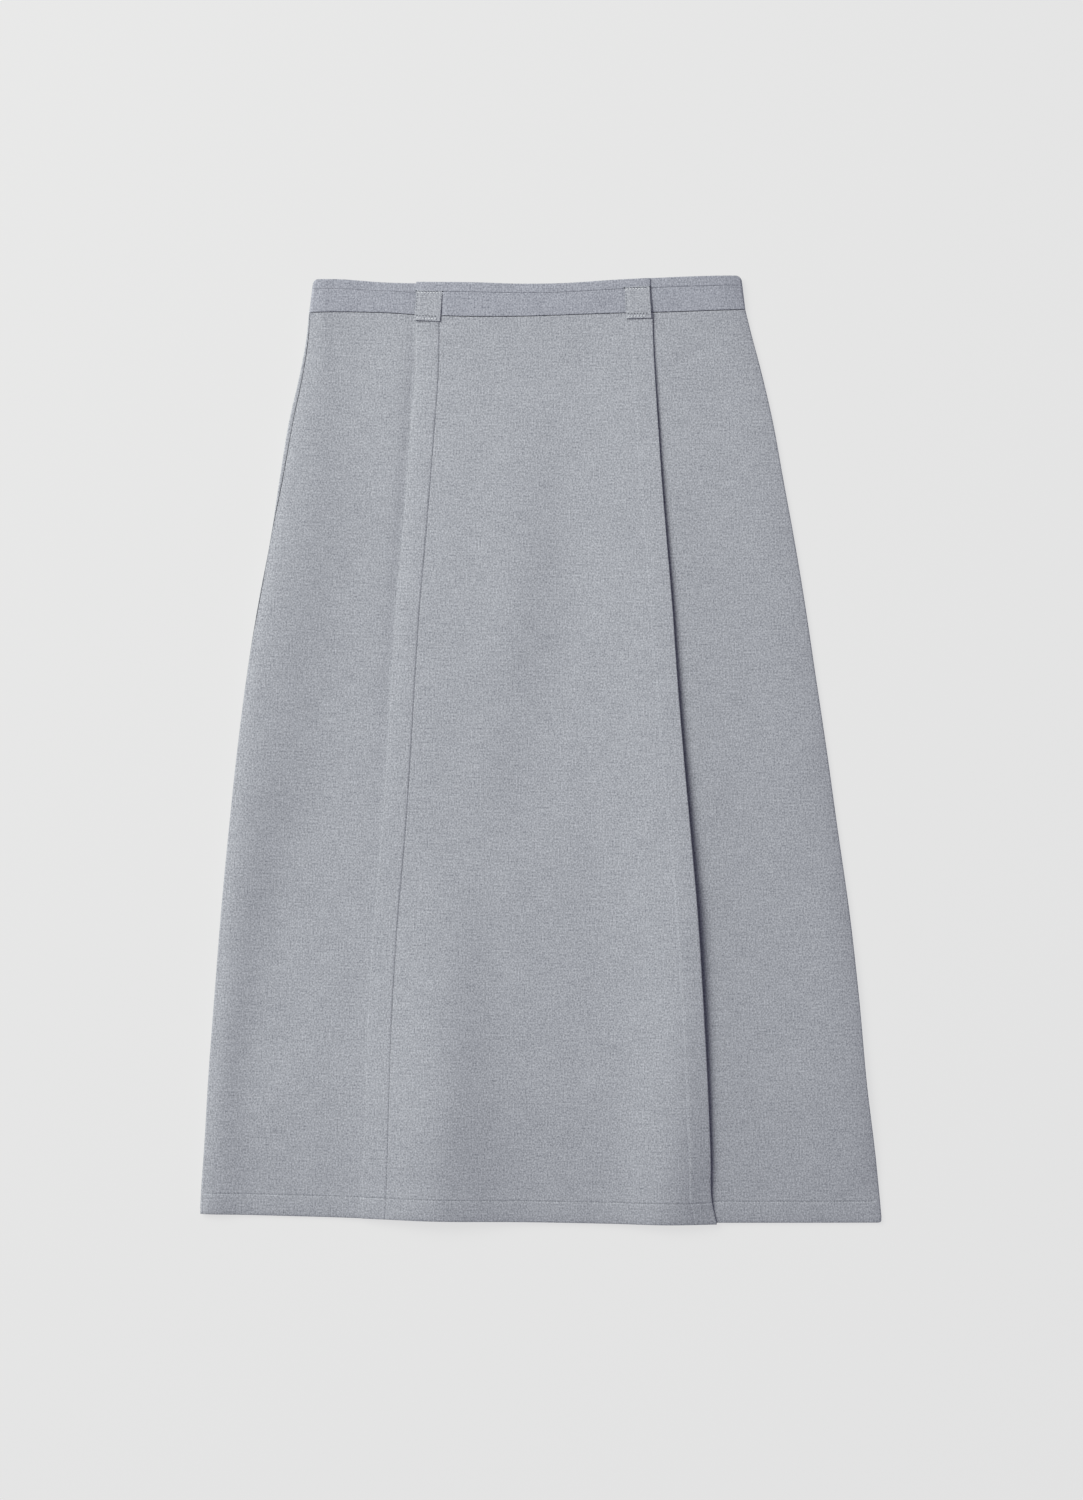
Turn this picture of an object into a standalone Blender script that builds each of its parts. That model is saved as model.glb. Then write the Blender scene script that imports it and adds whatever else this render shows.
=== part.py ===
"""A midi wrap skirt that lies flat on a surface, front up.

The waist points towards +Y, the hem towards -Y, and +Z is up from the surface. The origin is the
middle of the outline, on the surface. The sizes and tables below are in millimetres, and the
meshes are made in metres. A place on a panel is given by its x and its drop, which is the distance
down the cloth from the waist seam, out of LENGTH.
"""

from collections import namedtuple

import bmesh
import bpy
import numpy as np

MM = 0.001
COLLECTION = "wrap_skirt"

# Cloth
CLOTH = 1.0  # one layer of suiting
TURNING = 0.8  # what a pressed and stitched turning adds to a layer
BAND = 1.6  # the waistband's two layers and its interfacing
FACING = 1.2  # the rolled facing at the top edge
LOOP = 1.3  # a belt loop's folded strip
SEAM_GAP = 0.3  # between pieces that are sewn together
AIR = 0.4  # between layers that lie on each other

# Cut
LENGTH = 752.0  # waist seam to hem
HEM = 18.0  # depth of the hem's turning
LAP = 19.5  # depth of the turning at the lap, where the wrap panel is stitched down
FREE_TURNING = 18.0  # depth of the turning at the wrap panel's free edge
UNDERLAP = 90.0  # from the lap to the hidden edge beneath the wrap panel
WAISTBAND = 28.0  # waist seam to top edge
FACING_LINE = 20.0  # waist seam to the facing's line
BAND_LEAN = 3.5  # how far the waistband's ends lean in towards the top
BAND_CORNER = 5.0  # radius of the waistband's top corners
BAND_EDGE = 0.6  # the waistband's thickness along its top edge, as a share of its own
BACK_SHORT = 1.5  # how far the back's waist and hem lie inside the front's

# Lie
RIM = 1.8  # outer radius of the rim at the side seams
PLAIN_SEAM = 3.1  # distance round the rim to a side seam that lies at the edge
FOLD_REACH = 14.0  # how far in from a side the folds have their full height
ROLL_IN = 8.0  # from the left side to the crest of the roll along it
ROLL_OUTER = 24.0  # the roll's width on its outer side
OUTER_FALL = 1.0  # from that crest to the rim of the left side
RIGHT_ROLL = 3.0  # how far the right side falls off
RIGHT_REACH = 9.0
EDGE_LIFT = 3.0  # how far the wrap's free edge stands off
EDGE_REACH = 48.0  # from the free edge to where the panel lies down
EDGE_START = 150.0  # the drop by which the free edge has come off the underlap
CORNER = 24.0  # height of the hem corner there, which lies down again
CORNER_LEFT = 0.15  # what the corner keeps of the lift
WAIST_REACH = 14.0  # the drop over which the wrap panel comes up onto the lower waistbands
BAND_TILT = 1.0  # how far the waistband's top stands above its seam
TILT_REACH = 20.0  # how far in from the sides it does so
HALF_GAP = SEAM_GAP / 2
RIM_GAP = HALF_GAP * RIM / (RIM - CLOTH)  # the same half gap, measured on the rim's outer side
CREST_GAP = 0.25  # what is added to it where a seam lies on the crest of the lifted rim
BAND_LAYER = BAND + SEAM_GAP  # from one waistband's underside to the next one's
LOOP_BASE = BAND_LAYER + CLOTH + TURNING + SEAM_GAP
LOOP_BRIDGE = 0.3  # how far a belt loop bows off the waistband
WRAP_STEP = 1.0  # how far the wrap's waistband stands above the left one

Section = namedtuple("Section", "drop left seam lap free right")
# left, right: outline. seam: distance round the left rim to the side seam, which the back panel
# passes round. lap: the wrap panel's folded edge. free: its free edge.
SECTIONS = [
    Section(0, -192.6, 5.6, -104.0, 92.5, 169.8),
    Section(20, -194.6, 6.6, -104.0, 93.0, 174.8),
    Section(50, -200.0, 7.6, -104.8, 94.5, 182.8),
    Section(90, -209.0, 8.4, -107.7, 97.0, 192.2),
    Section(140, -217.0, 7.6, -111.5, 100.3, 201.4),
    Section(190, -224.5, 5.0, -115.6, 104.4, 210.6),
    Section(240, -234.0, 5.8, -120.0, 108.6, 219.0),
    Section(300, -243.5, 3.7, -124.0, 112.8, 228.0),
    Section(360, -251.3, 3.1, -127.4, 117.6, 237.0),
    Section(430, -258.7, 3.1, -132.0, 123.9, 246.8),
    Section(500, -265.3, 3.1, -138.0, 129.9, 256.8),
    Section(570, -270.8, 3.1, -142.5, 134.3, 264.6),
    Section(640, -276.0, 3.1, -145.2, 138.5, 271.0),
    Section(700, -279.6, 3.1, -146.9, 141.3, 278.3),
    Section(730, -281.8, 3.1, -147.9, 143.0, 281.2),
    Section(752, -283.1, 3.1, -148.8, 146.0, 283.1),
]

Waist = namedtuple("Waist", "x seam top")
WAIST = [
    Waist(-193, 362.3, 390.0),
    Waist(-165, 363.0, 390.0),
    Waist(-130, 362.4, 387.6),
    Waist(-95, 360.3, 386.9),
    Waist(-55, 359.1, 387.0),
    Waist(-15, 359.3, 386.3),
    Waist(20, 360.4, 386.9),
    Waist(55, 361.6, 389.2),
    Waist(90, 362.6, 391.1),
    Waist(125, 363.7, 392.7),
    Waist(168, 365.5, 393.8),
]

Hem = namedtuple("Hem", "x front underlap")
HEMS = [
    Hem(-283, -385.0, -382.0),
    Hem(-200, -387.3, -384.0),
    Hem(-100, -389.9, -387.0),
    Hem(0, -392.1, -390.0),
    Hem(80, -393.5, -392.0),
    Hem(150, -393.8, -392.6),
    Hem(283, -393.8, -392.6),
]

Side = namedtuple("Side", "drop roll width")
# The roll of cloth along the left side: its height above the front's middle, and its width.
SIDES = [
    Side(0, 3.0, 20),
    Side(30, 3.4, 25),
    Side(90, 5.0, 35),
    Side(160, 7.0, 43),
    Side(240, 8.2, 47),
    Side(330, 8.2, 45),
    Side(410, 8.0, 38),
    Side(490, 6.4, 28),
    Side(570, 4.6, 21),
    Side(650, 3.6, 15),
    Side(700, 3.8, 23),
    Side(752, 3.4, 19),
]

Level = namedtuple("Level", "drop height")
# How far the front stands off the back in its middle. It comes up onto the waistband at the top,
# and down to the hem.
LEVELS = [
    Level(0, 4.0),
    Level(25, 3.0),
    Level(60, 2.3),
    Level(120, 2.4),
    Level(400, 3.2),
    Level(600, 5.0),
    Level(650, 5.0),
    Level(700, 3.6),
    Level(752, 0.5),
]

Fold = namedtuple("Fold", "x_top drop_top x_foot drop_foot width_top width_foot height")
# A soft ridge along a straight line, or a trough where its height is below 0. It grows from
# nothing at the top end, and dies out again if its foot lies on the cloth.
FOLDS = [
    Fold(-84, 400, -88, 900, 26, 58, 9.0),
    Fold(98, 520, 84, 900, 26, 36, 6.5),
    Fold(46, 40, -18, 470, 26, 34, -1.6),
    Fold(-26, 30, -22, 330, 24, 26, 1.2),
]

Loop = namedtuple("Loop", "name x_top x_foot width")
LOOPS = [
    Loop("belt_loop_left", -92.3, -94.2, 21.5),
    Loop("belt_loop_right", 79.6, 81.2, 20.8),
]
LOOP_TOP = 21.5  # above the waist seam
LOOP_FOOT = -3.5

End = namedtuple("End", "start lines share")
# A waistband's end: how many thicknesses in its grid lines start, how far in from there each lies,
# and its share of the height above the back waistband. A turned end starts one thickness in, so
# that its wall reaches the outline.
PLAIN_END = End(0, [0, 1.2, 3, 6], [1, 1, 1, 1])
TURNED_END = End(1, [0, 0, 0.6, 2.6], [0, 0.88, 0.98, 1])

# Grid lines across a panel, as distances in from its two edges
PLAIN_LINES = [0, 10]
LAP_LINES = [0, 1, 10, LAP - 1, LAP + 1, 32]
FREE_LINES = [0, 1, 8, FREE_TURNING - 1, FREE_TURNING + 1, 28]
RIM_LINES = [0, 0.8, 1.7, 2.8, 5, 9, 15, 22, 32]
MIDDLE_ROWS = 20
BAND_COLUMNS = 16

CLOTH_COLOR = (0.40, 0.41, 0.45)
BAND_COLOR = (0.38, 0.39, 0.43)


def clear_scene():
    for old in list(bpy.data.objects):
        bpy.data.objects.remove(old, do_unlink=True)


def smooth(table, column, at):
    """The named column on a smooth curve through the table's rows, at places along its first one."""
    stations = np.array([row[0] for row in table], float)
    values = np.array([getattr(row, column) for row in table], float)
    slopes = np.gradient(values, stations)
    at = np.clip(at, stations[0], stations[-1])
    low = np.clip(np.searchsorted(stations, at, side="right") - 1, 0, len(table) - 2)
    width = stations[low + 1] - stations[low]
    t = (at - stations[low]) / width
    start = values[low] * (1 + 2 * t) + slopes[low] * width * t
    end = values[low + 1] * (3 - 2 * t) - slopes[low + 1] * width * (1 - t)
    return start * (1 - t) ** 2 + end * t**2


def ramp(value):
    """0 below 0, 1 above 1, and a soft step between."""
    t = np.clip(value, 0, 1)
    return t * t * (3 - 2 * t)


def across(drop, column):
    return smooth(SECTIONS, column, drop)


def along(x, drop, hem, short=0.0):
    """y of a place on a panel whose hem follows the named column."""
    waist = smooth(WAIST, "seam", x)
    foot = smooth(HEMS, hem, x) + short
    return waist + (foot - waist) * drop / LENGTH


def inset(x, drop):
    """Distance in from the nearer side of the outline."""
    return np.minimum(x - across(drop, "left"), across(drop, "right") - x)


def fold_height(x, drop):
    total = np.zeros(np.broadcast(x, drop).shape)
    for fold in FOLDS:
        way = (drop - fold.drop_top) / (fold.drop_foot - fold.drop_top)
        crest = fold.x_top + (fold.x_foot - fold.x_top) * way
        width = fold.width_top + (fold.width_foot - fold.width_top) * np.clip(way, 0, 1)
        rise = ramp(way * 1.6) * ramp((1 - way) * 5)
        total += fold.height * rise * np.exp(-(((x - crest) / width) ** 2))
    return total


def left_lift(drop):
    """How far the rim of the left side is pulled up, with the roll along it."""
    return smooth(LEVELS, "height", drop) + smooth(SIDES, "roll", drop) - OUTER_FALL


def front_base(x, drop):
    """Height of the underside of the front's lower layer, which the front left panel and the
    underlap share."""
    from_left, from_right = x - across(drop, "left"), across(drop, "right") - x
    level, lift = smooth(LEVELS, "height", drop), left_lift(drop)
    past = from_left - ROLL_IN
    width = np.where(past > 0, smooth(SIDES, "width", drop), ROLL_OUTER)
    middle = level + smooth(SIDES, "roll", drop) * np.exp(-((past / width) ** 2))
    left = lift + (middle - lift) * ramp(from_left / ROLL_IN)
    right_fall = np.exp(-np.maximum(from_right, 0) / RIGHT_REACH)
    right = level - np.minimum(level, RIGHT_ROLL) * right_fall
    side = np.where(from_left < from_right, left, right)
    soft = fold_height(x, drop) * ramp(inset(x, drop) / FOLD_REACH)
    return 2 * RIM - CLOTH + side + soft


def wrap_base(x, drop):
    """Height of the wrap panel's underside: on the lower layer, with its free edge stood off."""
    from_free = across(drop, "free") - x
    rise = EDGE_LIFT * np.clip(1 - from_free / EDGE_REACH, 0, 1) ** 1.3
    corner = ramp((drop - LENGTH + CORNER) / (CORNER * 0.75))
    rise = rise * ramp(drop / EDGE_START) * (1 - (1 - CORNER_LEFT) * corner)
    waist = (BAND_LAYER - CLOTH - AIR) * np.exp(-drop / WAIST_REACH)
    return front_base(x, drop) + CLOTH + AIR + TURNING * over_turning(drop) + rise + waist


def hem_turning(drop):
    """1 on the hem's turning and 0 above it."""
    return ramp((drop - (LENGTH - HEM - 1)) / 2)


def over_turning(drop):
    """1 where a layer lies on the hem's turning of the one below, with a softer step."""
    return ramp((drop - (LENGTH - HEM - 12)) / 11)


def off_rim(x, drop):
    """0 on the rim at the sides, where nothing is turned under, and 1 inside it."""
    return ramp((inset(x, drop) - RIM) / 3)


def rim_point(round_rim, radius, lift):
    """Across and up from the outline, at a distance round a side's rim from the underside. The rim
    is a half round, which the lift stretches upwards."""
    angle = np.clip(round_rim / RIM, 0, np.pi)
    flat = np.maximum(round_rim - np.pi * RIM, 0) + np.maximum(-round_rim, 0)
    up = RIM - radius * np.cos(angle) + lift * (1 - np.cos(angle)) / 2
    return RIM - radius * np.sin(angle) + flat, up


def seam_gap(seam, lift):
    """Half the gap at a side seam, as a distance round the rim before the lift stretches it. On the
    crest of a lifted rim the two walls turn sharply, so they need more room there."""
    angle = np.clip(seam / RIM, 0, np.pi)
    stretch = np.hypot(np.cos(angle), (1 + lift / (2 * RIM)) * np.sin(angle))
    return RIM_GAP / stretch + CREST_GAP * ramp((angle - 2) / 0.6)


def drop_rows():
    """Grid lines down a panel, close together at the waist seam and at the hem's turning."""
    turning = LENGTH - HEM
    middle = np.linspace(30, turning - 18, MIDDLE_ROWS)
    ends = [[HALF_GAP, 4, 12], middle, [turning - 1, turning + 1, LENGTH - 8, LENGTH]]
    return np.concatenate(ends)[:, None]


def spread(left, right, left_lines, right_lines, middle):
    """Grid lines from one edge to the other, one row for each row of the edges."""
    near = left + np.array(left_lines)
    far = right - np.array(right_lines)[::-1]
    steps = np.linspace(0, 1, middle + 2)[1:-1]
    between = near[:, -1:] + (far[:, :1] - near[:, -1:]) * steps
    return np.hstack([near, between, far])


def material(name, color):
    """Matt woven cloth."""
    made = bpy.data.materials.new(name)
    made.use_nodes = True
    shader = made.node_tree.nodes["Principled BSDF"]
    shader.inputs["Base Color"].default_value = (*color, 1)
    shader.inputs["Roughness"].default_value = 0.9
    shader.inputs["Metallic"].default_value = 0
    return made


def cloth_piece(name, underside, thinnest, thickest, turned, color=CLOTH_COLOR):
    """A wall of cloth that rises from its underside, a grid of points with its rows from the waist
    down. It has its greatest thickness where turned is 1."""
    rows, columns = underside.shape[:2]
    grid = bmesh.new()
    bmesh.ops.create_grid(grid, x_segments=columns - 1, y_segments=rows - 1, size=1)
    weights = []
    for vertex in grid.verts:
        column = round((vertex.co.x + 1) / 2 * (columns - 1))
        row = round((1 - vertex.co.y) / 2 * (rows - 1))
        vertex.co = underside[row, column] * MM
        weights.append(turned[row, column])
    mesh = bpy.data.meshes.new(name)
    grid.to_mesh(mesh)
    grid.free()
    mesh.materials.append(material(name, color))
    mesh.shade_smooth()
    piece = bpy.data.objects.new(name, mesh)
    bpy.data.collections[COLLECTION].objects.link(piece)
    group = piece.vertex_groups.new(name="turned")
    for index, weight in enumerate(weights):
        group.add([index], float(weight), "REPLACE")
    wall = piece.modifiers.new("wall", "SOLIDIFY")
    wall.thickness = thickest * MM
    wall.offset = 1
    wall.vertex_group = "turned"
    wall.thickness_vertex_group = thinnest / thickest
    return piece


def panel(name, x, drop, height, hem, turned):
    drop = np.broadcast_to(drop, x.shape)
    underside = np.stack([x, along(x, drop, hem), height], axis=2)
    cloth_piece(name, underside, CLOTH, CLOTH + TURNING, np.broadcast_to(turned, x.shape))


def back_panel():
    """Lies flat on the surface, and passes round the rim at both sides to the side seams."""
    drop = drop_rows()
    left, right = across(drop, "left"), across(drop, "right")
    lift, seam = left_lift(drop), across(drop, "seam")
    left_round = (seam - seam_gap(seam, lift)) * np.linspace(1, 0, 9)
    right_round = (PLAIN_SEAM - RIM_GAP) * np.linspace(0, 1, 6) + 0 * drop
    left_across, left_up = rim_point(left_round, RIM, lift)
    right_across, right_up = rim_point(right_round, RIM, 0.0)
    flat = spread(left + RIM, right - RIM, [3, 12], [3, 12], 12)
    x = np.hstack([left + left_across, flat, right - right_across])
    up = np.hstack([left_up, 0 * flat, right_up])
    short = BACK_SHORT * ramp((drop - LENGTH + 40) / 40)
    y = along(x, np.broadcast_to(drop, x.shape), "front", short)
    y = np.maximum(y, along(x, drop, "underlap", short))
    turned = hem_turning(drop) * off_rim(x, drop)
    cloth_piece("back_panel", np.stack([x, y, up], axis=2), CLOTH, CLOTH + TURNING, turned)


def rim_columns(drop, seam, outline, way, lift):
    """x and height of a front panel's grid lines beside a side seam. way is 1 at the left side
    and -1 at the right one."""
    round_rim = seam + seam_gap(seam, lift) + np.array(RIM_LINES)
    out, up = rim_point(round_rim + 0 * drop, RIM - CLOTH, lift)
    x = outline + way * out
    over = ramp((up - RIM) / (RIM - CLOTH))
    rise = front_base(x, drop) - (2 * RIM - CLOTH)
    return x, up + (rise - lift) * over


def front_left():
    """From the left side seam to its hidden edge under the lap."""
    drop = drop_rows()
    lift = left_lift(drop)
    rim_x, rim_up = rim_columns(drop, across(drop, "seam"), across(drop, "left"), 1, lift)
    hidden = across(drop, "lap") + LAP
    inner = spread(rim_x[:, -1:], hidden, [14], [0, 10, LAP], 3)
    x = np.hstack([rim_x, inner])
    height = np.hstack([rim_up, front_base(inner, drop)])
    panel("front_left", x, drop, height, "front", hem_turning(drop) * off_rim(x, drop))


def front_underlap():
    """From its hidden edge beneath the wrap panel to the right side seam."""
    drop = drop_rows()
    rim_x, rim_up = rim_columns(drop, PLAIN_SEAM, across(drop, "right"), -1, 0.0)
    rim_x, rim_up = rim_x[:, ::-1], rim_up[:, ::-1]
    hidden = across(drop, "lap") + UNDERLAP
    inner = spread(hidden, rim_x[:, :1], PLAIN_LINES, [14], 14)
    x = np.hstack([inner, rim_x])
    height = np.hstack([front_base(inner, drop), rim_up])
    panel("front_underlap", x, drop, height, "underlap", hem_turning(drop) * off_rim(x, drop))


def front_wrap():
    """Lies on both lower panels. Its left edge is folded and stitched down, its right edge turned
    under and free."""
    drop = drop_rows()
    lap, free = across(drop, "lap"), across(drop, "free")
    x = spread(lap, free, LAP_LINES, FREE_LINES, 14)
    at_lap = ramp((lap + LAP + 1 - x) / 2)
    at_free = ramp((x - free + FREE_TURNING + 1) / 2)
    turned = np.maximum(np.maximum(at_lap, at_free), hem_turning(drop))
    panel("front_wrap", x, drop, wrap_base(x, drop), "front", turned)


def band_end(height, x, way):
    """x of a waistband's end at a side, leaning in and rounded at its top corner."""
    over = np.clip(height - (WAISTBAND - BAND_CORNER), 0, BAND_CORNER)
    corner = BAND_CORNER - np.sqrt(BAND_CORNER**2 - over**2)
    return x + way * (BAND_LEAN * height / WAISTBAND + corner)


def band_strip(name, left, right, heights, base, thickness, ends, step=0.0, short=0.0):
    """A strip of the waistband between two ends, each an x for every height. A turned end goes
    straight down onto the back waistband."""
    near, far = (thickness * end.start + np.array(end.lines) for end in ends)
    x = spread(left, right, near, far, BAND_COLUMNS)
    seam, top = smooth(WAIST, "seam", x), smooth(WAIST, "top", x) - short
    top = top + step * ramp((x.max() - x) / np.ptp(x) * 2 - 1)
    y = seam + (top - seam) * heights / WAISTBAND
    share = np.concatenate([ends[0].share, np.ones(BAND_COLUMNS), ends[1].share[::-1]])
    up = BAND_LAYER + (base(x, heights) - BAND_LAYER) * share
    turned = np.where(heights > WAISTBAND - 0.5, 0.0, 1.0) + 0 * x
    underside = np.stack([x, y, up], axis=2)
    cloth_piece(name, underside, thickness * BAND_EDGE, thickness, turned, BAND_COLOR)


def waist_height(x, height):
    """Height of the lower waistbands' underside, at a height above the waist seam."""
    drop = np.zeros_like(x)
    tilt = BAND_TILT * height / WAISTBAND * ramp(inset(x, drop) / TILT_REACH)
    return front_base(x, drop) + tilt


def waistbands():
    """Each front waistband is a strip with its rolled facing above it. The back one is whole."""
    band_rows = np.array([FACING_LINE - HALF_GAP, 10, HALF_GAP])[:, None]
    facing_rows = np.array([WAISTBAND, WAISTBAND - 1, WAISTBAND - 2.5, FACING_LINE + HALF_GAP])
    facing_rows = facing_rows[:, None]
    first, last = SECTIONS[0].left, SECTIONS[0].right
    lap, free = SECTIONS[0].lap, SECTIONS[0].free
    lean = BAND_LEAN - 1
    for kind, rows, rise, thickness in (
        ("waistband", band_rows, 0.0, BAND),
        ("facing", facing_rows, 0.2, FACING),
    ):
        outer_left, outer_right = band_end(rows, first, 1), band_end(rows, last, -1)
        hidden_left, hidden_right = lap + LAP + 0 * rows, lap + UNDERLAP + 0 * rows
        wrap_left, wrap_right = lap + 0.7 + 0 * rows, free - lean * rows / WAISTBAND
        ends = {
            "left": (outer_left, hidden_left, 0.0, (TURNED_END, PLAIN_END), 0.0),
            "wrap": (wrap_left, wrap_right, BAND_LAYER, (PLAIN_END, PLAIN_END), WRAP_STEP),
            "underlap": (hidden_right, outer_right, 0.0, (PLAIN_END, TURNED_END), 0.0),
        }
        for place, (left, right, layer, end_kinds, step) in ends.items():
            band_strip(
                f"{kind}_{place}",
                left,
                right,
                rows,
                lambda x, height, up=layer + rise: waist_height(x, height) + up,
                thickness,
                end_kinds,
                step=step,
            )
    back_rows = np.array([WAISTBAND, WAISTBAND - 1, WAISTBAND - 2.5, 10, HALF_GAP])[:, None]
    left, right = band_end(back_rows, first, 1), band_end(back_rows, last, -1)
    flat = lambda x, height: np.zeros_like(x)
    plain = (PLAIN_END, PLAIN_END)
    band_strip("waistband_back", left, right, back_rows, flat, BAND, plain, short=BACK_SHORT)


def belt_loops():
    """Each is a folded strip sewn down at both ends, bowed a little off the waistband between."""
    way = np.linspace(0, 1, 11)[:, None]
    height = LOOP_TOP + (LOOP_FOOT - LOOP_TOP) * way
    for loop in LOOPS:
        centre = loop.x_top + (loop.x_foot - loop.x_top) * way
        half = loop.width / 2
        x = spread(centre - half, centre + half, [0, 2], [0, 2], 3)
        seam, top = smooth(WAIST, "seam", x), smooth(WAIST, "top", x)
        y = seam + (top - seam) * height / WAISTBAND
        bow = LOOP_BRIDGE * (1 - (2 * way - 1) ** 4)
        up = waist_height(x, np.maximum(height, 0)) + LOOP_BASE + bow
        cloth_piece(loop.name, np.stack([x, y, up], axis=2), LOOP, LOOP, np.ones_like(x), BAND_COLOR)


def main():
    clear_scene()
    collection = bpy.data.collections.new(COLLECTION)
    bpy.context.scene.collection.children.link(collection)
    back_panel()
    front_left()
    front_underlap()
    front_wrap()
    waistbands()
    belt_loops()


main()
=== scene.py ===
from collections import namedtuple

import bpy
import numpy as np
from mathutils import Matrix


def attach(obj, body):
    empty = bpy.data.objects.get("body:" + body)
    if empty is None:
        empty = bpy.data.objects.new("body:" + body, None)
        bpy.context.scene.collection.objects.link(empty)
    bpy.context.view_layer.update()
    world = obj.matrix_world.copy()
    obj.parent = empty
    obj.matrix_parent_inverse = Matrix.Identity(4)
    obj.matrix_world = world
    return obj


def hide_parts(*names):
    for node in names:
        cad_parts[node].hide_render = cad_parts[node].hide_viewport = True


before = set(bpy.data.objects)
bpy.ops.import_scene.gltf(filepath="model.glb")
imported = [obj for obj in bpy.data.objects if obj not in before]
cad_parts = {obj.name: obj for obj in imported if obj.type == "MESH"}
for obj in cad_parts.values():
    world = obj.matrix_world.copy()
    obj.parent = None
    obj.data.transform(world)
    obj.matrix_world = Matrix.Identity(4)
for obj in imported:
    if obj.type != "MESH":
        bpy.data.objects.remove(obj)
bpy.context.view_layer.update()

# ----------------------------------------------------------------------------------------------
# Back panel. One piece of polyester and viscose suiting in plain weave, cut wider than the front
# so that it passes round both sides to the side seams. It lies flat on the surface, and its hem
# is turned up once and stitched.

# Lengths are in millimetres. A place on a panel is its x and its drop, the distance down the
# cloth from the waist seam.
MM = 0.001
LENGTH = 752.0  # waist seam to hem
HEM = 18.0  # depth of the hem's turning
CLOTH = 1.0  # room that one layer takes
CLOTH_WALL = 0.85  # the suiting's own thickness
TURNING = 0.4  # what a pressed and stitched turning adds
TURNING_STEP = 6.0  # width of the soft step at the hem's turning
SEAM_GAP = 0.3  # between the edges of two panels at their seam
RIM = 1.8  # outer radius of the rim at the side seams
RIM_WIDTH = 0.55  # how wide the rim is against a half round
PLAIN_SEAM = 3.1  # distance round the rim to a side seam that lies at the edge
BACK_SHORT = 1.5  # how far the back's hem lies inside the front's
SHORT_REACH = 40.0  # how far above the hem it starts to draw in
HEM_CORNER = 2.5  # radius of the right hem corner
SIDE_FADE = 3.0  # how near a side the turning and its groove fade out
EDGE_ROUND = 0.8  # how far in from its edge a panel starts to thin
EDGE_LEFT = 0.03  # share of the thickness that is left at the edge

Section = namedtuple("Section", "drop left seam lap free right")
# left, right: outline. seam: distance round the left rim to the side seam. lap: the wrap panel's
# folded edge. free: its free edge.
SECTIONS = [
    Section(0, -192.6, 5.6, -104.0, 92.5, 169.8),
    Section(20, -194.6, 6.6, -104.0, 93.0, 174.8),
    Section(50, -200.0, 7.6, -104.8, 94.5, 182.8),
    Section(90, -209.0, 8.4, -107.7, 97.0, 192.2),
    Section(140, -217.0, 7.6, -111.5, 100.3, 201.4),
    Section(190, -224.5, 5.0, -115.6, 104.4, 210.6),
    Section(240, -234.0, 5.8, -120.0, 108.6, 219.0),
    Section(300, -243.5, 3.7, -124.0, 112.8, 228.0),
    Section(360, -251.3, 3.1, -127.4, 117.6, 237.0),
    Section(430, -258.7, 3.1, -132.0, 123.9, 246.8),
    Section(500, -265.3, 3.1, -138.0, 129.9, 256.8),
    Section(570, -270.8, 3.1, -142.5, 134.3, 264.6),
    Section(640, -276.0, 3.1, -145.2, 138.1, 271.0),
    Section(700, -279.6, 3.1, -146.9, 140.6, 278.3),
    Section(730, -281.8, 3.1, -147.9, 141.4, 281.2),
    Section(752, -283.1, 3.1, -148.8, 146.0, 283.1),
]

Waist = namedtuple("Waist", "x seam top")
WAIST = [
    Waist(-193, 362.3, 390.0),
    Waist(-165, 363.0, 390.0),
    Waist(-130, 362.4, 387.6),
    Waist(-95, 360.3, 386.9),
    Waist(-55, 359.1, 387.0),
    Waist(-15, 359.3, 386.3),
    Waist(20, 360.4, 386.9),
    Waist(55, 361.6, 389.2),
    Waist(90, 362.6, 391.1),
    Waist(125, 363.7, 392.7),
    Waist(168, 365.5, 393.8),
]

Hem = namedtuple("Hem", "x front underlap")
HEMS = [
    Hem(-283, -385.0, -382.0),
    Hem(-200, -387.3, -384.0),
    Hem(-100, -389.9, -387.0),
    Hem(0, -392.1, -390.0),
    Hem(80, -393.5, -392.0),
    Hem(150, -393.8, -392.6),
    Hem(283, -393.8, -392.6),
]


def smooth(table, column, at):
    """The named column on a smooth curve through the table's rows, at places along its first one."""
    stations = np.array([row[0] for row in table], float)
    values = np.array([getattr(row, column) for row in table], float)
    slopes = np.gradient(values, stations)
    at = np.clip(at, stations[0], stations[-1])
    low = np.clip(np.searchsorted(stations, at, side="right") - 1, 0, len(table) - 2)
    width = stations[low + 1] - stations[low]
    t = (at - stations[low]) / width
    start = values[low] * (1 + 2 * t) + slopes[low] * width * t
    end = values[low + 1] * (3 - 2 * t) - slopes[low + 1] * width * (1 - t)
    return start * (1 - t) ** 2 + end * t**2


def ramp(value):
    """0 below 0, 1 above 1, and a soft step between."""
    t = np.clip(value, 0, 1)
    return t * t * (3 - 2 * t)


def across(drop, column):
    return smooth(SECTIONS, column, drop)


def along(x, drop, hem, short=0.0):
    """y of a place on a panel whose hem follows the named column."""
    waist = smooth(WAIST, "seam", x)
    foot = smooth(HEMS, hem, x) + short
    return waist + (foot - waist) * drop / LENGTH


def hem_turning(drop):
    """1 on the hem's turning and 0 above it, with a soft step."""
    return ramp((drop - (LENGTH - HEM - TURNING_STEP / 2)) / TURNING_STEP)


Side = namedtuple("Side", "drop roll width")
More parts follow.
